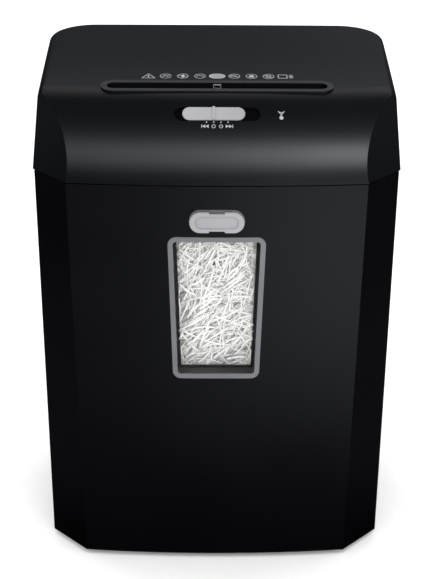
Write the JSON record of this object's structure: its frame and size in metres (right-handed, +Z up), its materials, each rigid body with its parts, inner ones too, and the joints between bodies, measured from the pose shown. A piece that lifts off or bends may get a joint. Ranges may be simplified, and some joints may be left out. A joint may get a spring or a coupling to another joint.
{
  "type": "paper shredder",
  "caption": "Deskside strip-cut paper shredder: pull-out bin with a window, sloping head with paper slot and mode slider, geared twin-shaft cutters inside",
  "frame": {"origin": "on the floor under the middle of the overall box", "axes": "+X to the right seen from the front, +Y to the back, +Z up; the bin pulls out towards -Y"},
  "size_m": [0.389, 0.2834, 0.5658],
  "materials": {
    "bezel_grey": "satin",
    "board_green": "satin",
    "bush_bronze": "satin",
    "case_black": "satin",
    "comb_plastic": "satin",
    "copper_winding": "satin",
    "cutter_steel": "satin",
    "foot_rubber": "matte",
    "gear_nylon": "satin",
    "gear_steel": "satin",
    "handle_grey": "satin",
    "head_black": "satin",
    "inner_black": "matte",
    "laminations": "satin",
    "light_lens": "gloss",
    "motor_steel": "satin",
    "paper_white": "matte",
    "plated_steel": "satin",
    "window_clear": "gloss"
  },
  "bodies": {
    "housing": {"left_side_panel": "case_black", "right_side_panel": "case_black", "rear_panel": "case_black", "panel_screws": "plated_steel", "base_tray": "inner_black", "top_frame": "inner_black", "rubber_feet": "foot_rubber", "bin_guide_rails": "inner_black", "head_top_cover": "head_black", "slot_bezel": "bezel_grey", "throat_guide_front": "plated_steel", "throat_guide_rear": "plated_steel", "switch_track": "inner_black", "slide_switch_body": "inner_black", "status_light_lens": "light_lens", "sensor_switch": "inner_black", "head_tray": "inner_black", "head_screws": "plated_steel", "control_board": "board_green", "board_parts": "inner_black", "cord_gland": "inner_black", "front_stripper_comb": "comb_plastic", "rear_stripper_comb": "comb_plastic", "left_frame_plate": "plated_steel", "right_frame_plate": "plated_steel", "shaft_bushes": "bush_bronze", "tie_rods": "plated_steel", "tie_rod_nuts": "plated_steel", "gear_pins": "plated_steel", "gearbox_cover": "comb_plastic", "motor_can": "motor_steel", "motor_end_bell": "motor_steel", "motor_stator": "laminations", "motor_screws": "plated_steel", "interlock_switch": "inner_black"},
    "bin": {"bin_front": "case_black", "window_frame": "handle_grey", "window_pane": "window_clear", "handle_base": "handle_grey", "bin_handle": "handle_grey", "handle_screws": "plated_steel", "bin_tub": "inner_black", "bin_front_screws": "plated_steel", "shredded_paper": "paper_white"},
    "mode_slider": {"mode_slider": "handle_grey"},
    "paper_sensor": {"sensor_lever": "inner_black"},
    "rear_cutter": {"rear_shaft": "cutter_steel", "rear_cutter_discs": "cutter_steel", "rear_cutter_gear": "gear_steel", "cutter_drive_gear": "gear_steel"},
    "front_cutter": {"front_shaft": "cutter_steel", "front_cutter_discs": "cutter_steel", "front_cutter_gear": "gear_steel"},
    "second_reduction": {"second_reduction_gear": "gear_steel"},
    "first_reduction": {"first_reduction_gear": "gear_nylon"},
    "motor_rotor": {"motor_shaft": "cutter_steel", "motor_armature": "copper_winding", "cooling_fan": "comb_plastic", "motor_pinion": "gear_steel"},
    "safety_plunger": {"interlock_plunger": "inner_black"}
  },
  "joints": [
    {"name": "bin_slide", "type": "slide", "parent": "housing", "child": "bin", "axis": [0, -1, 0], "range_m": [0, 0.3]},
    {"name": "mode_slide", "type": "slide", "parent": "housing", "child": "mode_slider", "axis": [1, 0, 0], "range_m": [-0.0073, 0.0146]},
    {"name": "sensor_tip", "type": "hinge", "parent": "housing", "child": "paper_sensor", "pos_m": [0, -0.0518, 0.528], "axis": [1, 0, 0], "range_deg": [0, 22], "stiffness_Nm_per_rad": 0.004, "springref_deg": -17.19},
    {"name": "rear_cutter_turn", "type": "hinge", "parent": "housing", "child": "rear_cutter", "pos_m": [0, -0.0458, 0.5006], "axis": [1, 0, 0], "continuous": true},
    {"name": "front_cutter_turn", "type": "hinge", "parent": "housing", "child": "front_cutter", "pos_m": [0, -0.0818, 0.5006], "axis": [1, 0, 0], "continuous": true},
    {"name": "second_reduction_turn", "type": "hinge", "parent": "housing", "child": "second_reduction", "pos_m": [0, -0.0058, 0.5134], "axis": [1, 0, 0], "continuous": true},
    {"name": "first_reduction_turn", "type": "hinge", "parent": "housing", "child": "first_reduction", "pos_m": [0, 0.03078, 0.5006], "axis": [1, 0, 0], "continuous": true},
    {"name": "motor_turn", "type": "hinge", "parent": "housing", "child": "motor_rotor", "pos_m": [0, 0.06627, 0.5066], "axis": [1, 0, 0], "continuous": true},
    {"name": "plunger_slide", "type": "slide", "parent": "housing", "child": "safety_plunger", "axis": [0, -1, 0], "range_m": [0, 0.004]}
  ],
  "couplings": [
    {"joint": "front_cutter_turn", "follows": "rear_cutter_turn", "ratio": -1},
    {"joint": "second_reduction_turn", "follows": "rear_cutter_turn", "ratio": -2.5},
    {"joint": "first_reduction_turn", "follows": "rear_cutter_turn", "ratio": 8.5714},
    {"joint": "motor_turn", "follows": "rear_cutter_turn", "ratio": -42.857},
    {"joint": "plunger_slide", "follows": "bin_slide", "ratio": 0.013333}
  ]
}
